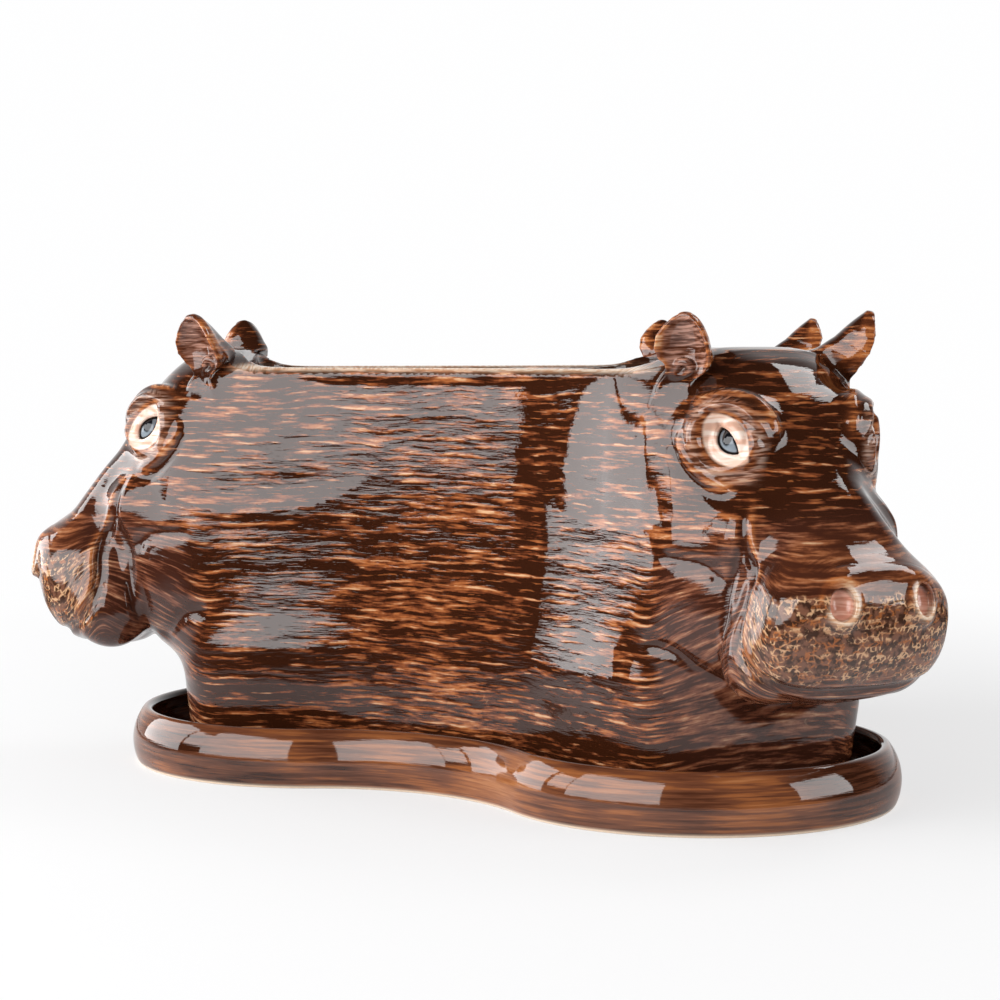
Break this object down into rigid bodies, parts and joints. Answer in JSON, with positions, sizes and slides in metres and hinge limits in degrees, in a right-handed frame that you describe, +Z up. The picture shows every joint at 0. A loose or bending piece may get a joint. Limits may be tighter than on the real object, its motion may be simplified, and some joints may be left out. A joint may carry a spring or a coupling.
{
  "type": "three-pot planter",
  "caption": "Three-lobed ceramic planter with a hippopotamus head on each lobe, standing loose in a three-lobed drip saucer.",
  "frame": {"origin": "middle of the saucer's flat underside, on the surface it stands on", "axes": "+Z up; -X along the left head; the right and rear heads point 60 degrees to either side of +X"},
  "size_m": [0.341, 0.3836, 0.178],
  "materials": {
    "saucer": "gloss",
    "body": "gloss",
    "head": "gloss",
    "ear": "gloss",
    "eye": "gloss"
  },
  "bodies": {
    "saucer": {"saucer": "saucer"},
    "planter": {"trough": "body", "left_head": "head", "right_head": "head", "rear_head": "head", "left_head_left_ear": "ear", "left_head_right_ear": "ear", "right_head_left_ear": "ear", "right_head_right_ear": "ear", "rear_head_left_ear": "ear", "rear_head_right_ear": "ear", "left_head_left_eye": "eye", "left_head_right_eye": "eye", "right_head_left_eye": "eye", "right_head_right_eye": "eye", "rear_head_left_eye": "eye", "rear_head_right_eye": "eye"}
  },
  "joints": [
    {"name": "planter_lift", "type": "slide", "parent": "saucer", "child": "planter", "axis": [0, 0, 1], "range_m": [0, 0.05]}
  ]
}
